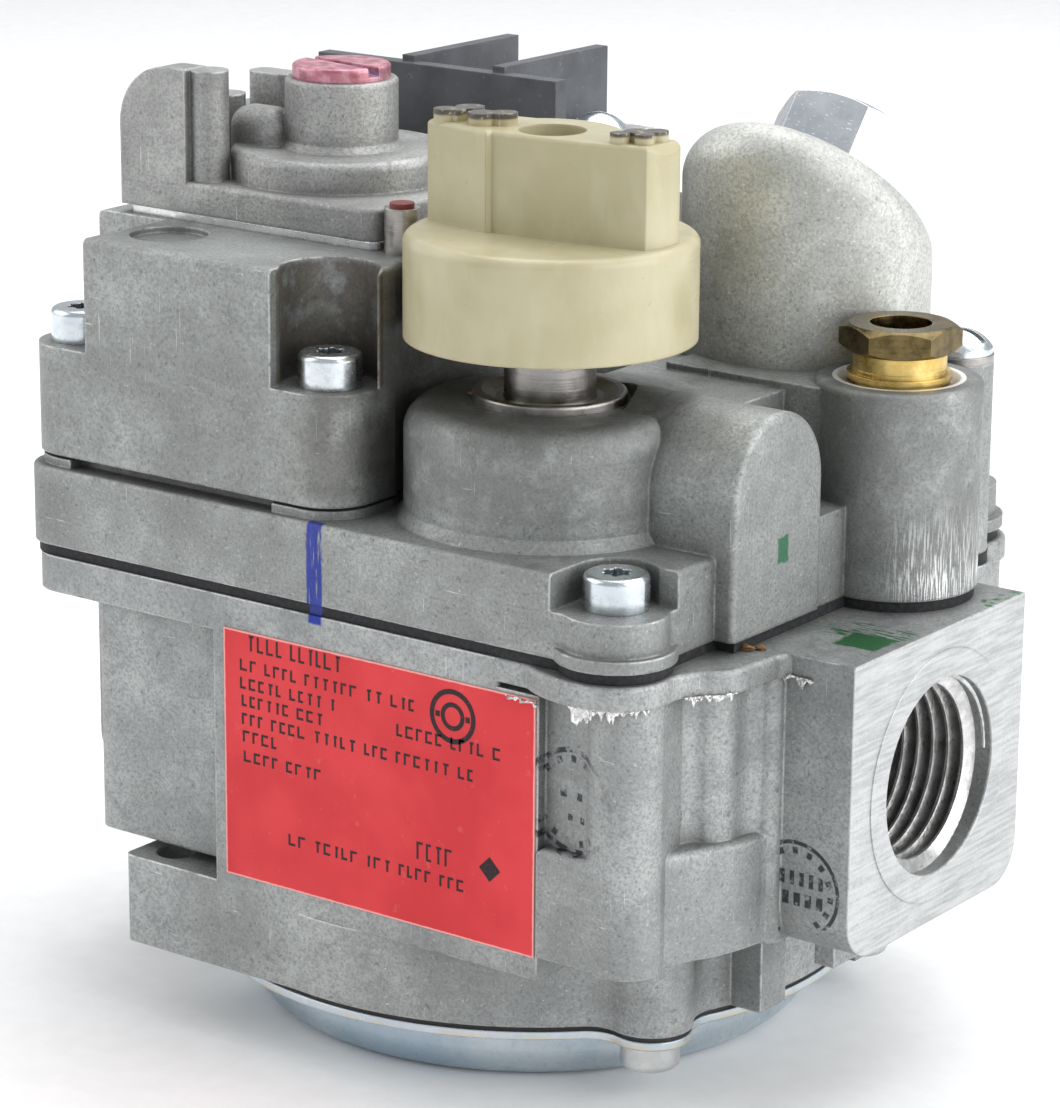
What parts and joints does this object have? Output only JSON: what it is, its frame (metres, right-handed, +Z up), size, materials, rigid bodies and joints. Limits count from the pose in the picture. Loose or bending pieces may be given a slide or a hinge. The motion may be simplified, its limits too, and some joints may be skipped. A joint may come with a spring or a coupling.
{
  "type": "combination gas valve",
  "caption": "Combination gas control valve with push-and-turn knob, pressure regulator, pilot outlet, flame safety unit and threaded pipe ports.",
  "frame": {"origin": "centre of the inlet port's mouth, on its outer face", "axes": "+X out of the inlet port along the pipe line, +Y towards the back of the valve, +Z up"},
  "size_m": [0.1016, 0.0762, 0.1017],
  "materials": {
    "cast_body": "fine-grained die casting",
    "cast_top": "fine-grained die casting",
    "cast_cover": "fine-grained die casting",
    "gasket": "matte",
    "steel_plate": "bright sheet",
    "zinc_pan": "blue zinc plating",
    "zinc": "bright zinc plating",
    "pan_screw_metal": "satin",
    "dark_steel": "satin",
    "brass": "machined",
    "knob_plastic": "moulded, cream",
    "cap_red": "pink-red coated",
    "seal_red": "sealing compound",
    "terminal_plastic": "moulded, grey",
    "label_red": "printed sticker",
    "rubber": "matte",
    "spring_steel": "drawn wire",
    "copper": "enamelled winding wire",
    "sinter": "sintered"
  },
  "bodies": {
    "valve": {"valve_body": "cast_body", "body_gasket": "gasket", "top_casting": "cast_top", "power_unit_housing": "cast_top", "shaft_collar": "dark_steel", "shaft_o_ring": "rubber", "knob_return_spring": "spring_steel", "power_unit_nut": "zinc", "power_unit_magnet": "dark_steel", "pilot_nut": "brass", "pilot_ferrule": "brass", "pilot_filter": "sinter", "column_washer": "dark_steel", "column_screw": "zinc", "top_casting_screws": "zinc", "operator_gasket": "gasket", "operator_housing": "cast_top", "operator_housing_screws": "zinc", "sealed_post": "dark_steel", "post_seal": "seal_red", "operator_coil": "copper", "coil_core": "dark_steel", "regulator_gasket_plate": "steel_plate", "regulator_cover": "cast_cover", "regulator_cover_screws": "zinc", "regulator_cap": "cap_red", "regulator_spring": "spring_steel", "regulator_diaphragm": "rubber", "terminal_block": "terminal_plastic", "terminal_plates": "steel_plate", "terminal_screws": "zinc", "main_spring": "spring_steel", "main_diaphragm": "rubber", "diaphragm_pan": "zinc_pan", "pan_screws": "pan_screw_metal", "inlet_screen": "steel_plate", "rating_label": "label_red"},
    "cock": {"gas_cock_plug": "brass"},
    "knob": {"control_knob": "knob_plastic", "knob_shaft": "dark_steel"},
    "safety_valve": {"safety_valve_disc": "rubber"},
    "main_valve_body": {"main_valve": "dark_steel", "diaphragm_plate": "steel_plate"},
    "spring_seat": {"regulator_spring_seat": "steel_plate"},
    "pressure_screw": {"regulator_adjusting_screw": "brass"},
    "armature": {"operator_armature": "steel_plate"}
  },
  "joints": [
    {"name": "knob_turn", "type": "hinge", "parent": "valve", "child": "cock", "pos_m": [-0.0371, -0.01794, 0.0212], "axis": [0, 0, 1], "range_deg": [-180, 0]},
    {"name": "knob_push", "type": "slide", "parent": "cock", "child": "knob", "axis": [0, 0, -1], "range_m": [0, 0.004], "stiffness_N_per_m": 900, "springref_m": -0.004, "deforming": ["knob_return_spring"]},
    {"name": "safety_valve_lift", "type": "slide", "parent": "valve", "child": "safety_valve", "axis": [0, 0.6293, 0.7771], "range_m": [0, 0.0013]},
    {"name": "main_valve_lift", "type": "slide", "parent": "valve", "child": "main_valve_body", "axis": [0, 0, 1], "range_m": [0, 0.0025], "stiffness_N_per_m": 400, "springref_m": -0.004, "deforming": ["main_spring"]},
    {"name": "armature_pull", "type": "slide", "parent": "valve", "child": "armature", "axis": [0, 0, 1], "range_m": [0, 0.0006], "stiffness_N_per_m": 200, "springref_m": -0.001},
    {"name": "spring_seat_slide", "type": "slide", "parent": "valve", "child": "spring_seat", "axis": [0, 0, 1], "range_m": [-0.0012, 0.0012], "deforming": ["regulator_spring"]},
    {"name": "pressure_screw_turn", "type": "hinge", "parent": "spring_seat", "child": "pressure_screw", "pos_m": [-0.0725, -0.0078, 0.061], "axis": [0, 0, 1], "range_deg": [-540, 540]}
  ],
  "couplings": [
    {"joint": "safety_valve_lift", "follows": "knob_push", "ratio": 0.325},
    {"joint": "pressure_screw_turn", "follows": "spring_seat_slide", "rad_per_m": 7853.9}
  ]
}
